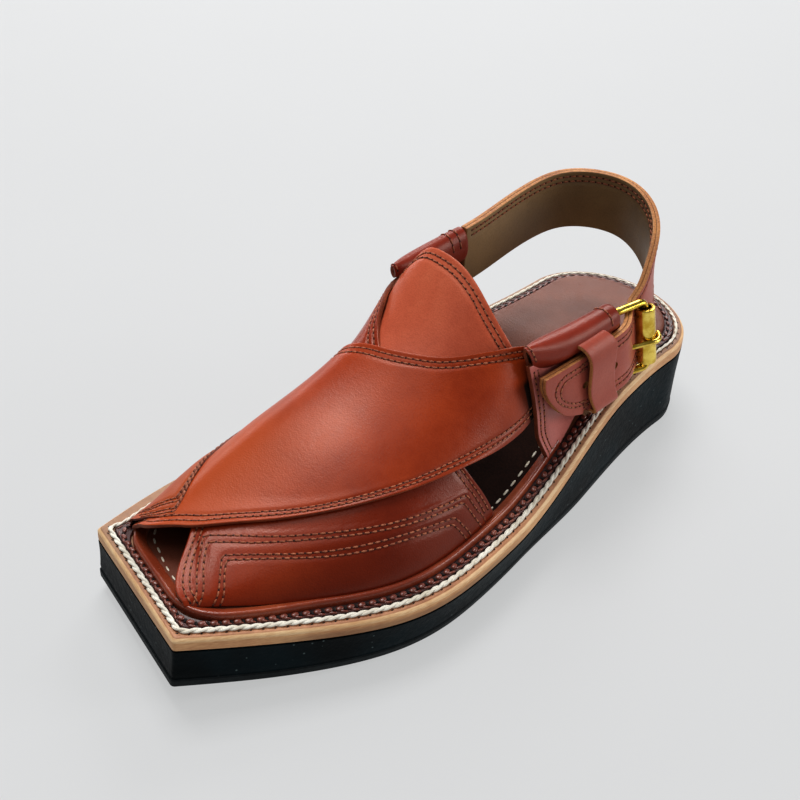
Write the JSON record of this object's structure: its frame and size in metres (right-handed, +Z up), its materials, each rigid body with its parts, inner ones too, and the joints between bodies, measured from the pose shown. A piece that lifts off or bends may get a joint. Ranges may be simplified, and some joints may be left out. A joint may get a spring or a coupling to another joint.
{
  "type": "sandal",
  "caption": "Left kaptan chappal: open-toed leather sandal with crossed bands, tongue, buckled heel strap and thick stitched rubber sole.",
  "frame": {"origin": "middle of the overall box, on the floor the shoe stands on", "axes": "+X towards the toe along the longest side, +Y towards the wearer's left (the outer side), +Z up"},
  "size_m": [0.2988, 0.1212, 0.1071],
  "materials": {
    "rubber": "matt black microcellular rubber with fine pale specks",
    "welt_leather": "natural tan sole leather, waxed edge",
    "maroon_leather": "maroon leather, polished",
    "insole_leather": "dark maroon-brown lining leather",
    "tan_leather": "glazed red-brown leather",
    "lined_leather": "red-brown leather with a khaki lining",
    "brass": "polished yellow brass"
  },
  "bodies": {
    "root": {"sole_tread": "rubber", "sole_wedge": "rubber", "welt_board": "welt_leather", "stitched_strip": "maroon_leather", "rolled_lip": "maroon_leather", "insole": "insole_leather", "upper": "tan_leather", "tongue": "tan_leather", "heel_strap": "lined_leather", "keeper": "tan_leather", "buckle_frame": "brass", "buckle_roller": "brass", "buckle_prong": "brass"}
  },
  "joints": []
}
